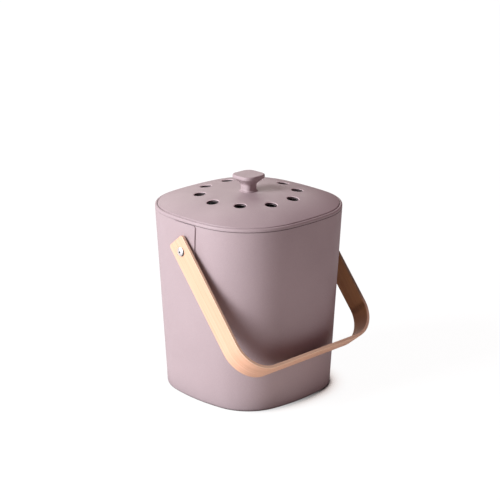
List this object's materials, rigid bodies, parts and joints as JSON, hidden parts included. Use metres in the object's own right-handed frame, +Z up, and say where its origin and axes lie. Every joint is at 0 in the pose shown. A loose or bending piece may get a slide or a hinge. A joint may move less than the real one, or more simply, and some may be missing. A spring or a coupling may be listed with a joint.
{
  "type": "countertop compost bin",
  "caption": "Tapered square bin with large rounded corners, a domed vented lid with a mushroom knob, and a bent strap handle that swings from one wall over the lid to the other.",
  "frame": {"origin": "centre of the foot ring under the bin, on the surface that the bin stands on", "axes": "+Z up; the handle's pivots lie on an axis along X; the handle hangs down against the wall that faces -Y; +X is the right side seen from the front"},
  "size_m": [0.198, 0.1953, 0.2346],
  "materials": {
    "moulded_bin": "fine satin moulding, mauve",
    "bamboo": "bent, sanded and oiled",
    "steel": "turned stainless steel",
    "nylon": "natural nylon",
    "tray_plastic": "moulded, darker mauve",
    "charcoal_felt": "needled felt"
  },
  "bodies": {
    "bin": {"bin_body": "moulded_bin", "pivot_screw_left": "steel", "pivot_screw_right": "steel", "strap_spacer_left": "nylon", "strap_spacer_right": "nylon", "inner_washer_left": "steel", "inner_washer_right": "steel", "cap_nut_left": "steel", "cap_nut_right": "steel"},
    "handle": {"handle_strap": "bamboo"},
    "lid": {"lid": "moulded_bin", "lid_knob": "moulded_bin", "knob_washer": "steel", "knob_screw": "steel"},
    "filter": {"filter_tray": "tray_plastic", "filter_pad": "charcoal_felt"}
  },
  "joints": [
    {"name": "handle_swing", "type": "hinge", "parent": "bin", "child": "handle", "pos_m": [0, 0, 0.17], "axis": [-1, 0, 0], "range_deg": [0, 281.06]},
    {"name": "lid_lift", "type": "slide", "parent": "bin", "child": "lid", "axis": [0, 0, 1], "range_m": [0, 0.08]},
    {"name": "filter_pull", "type": "slide", "parent": "lid", "child": "filter", "axis": [0, 0, -1], "range_m": [0, 0.02]}
  ]
}
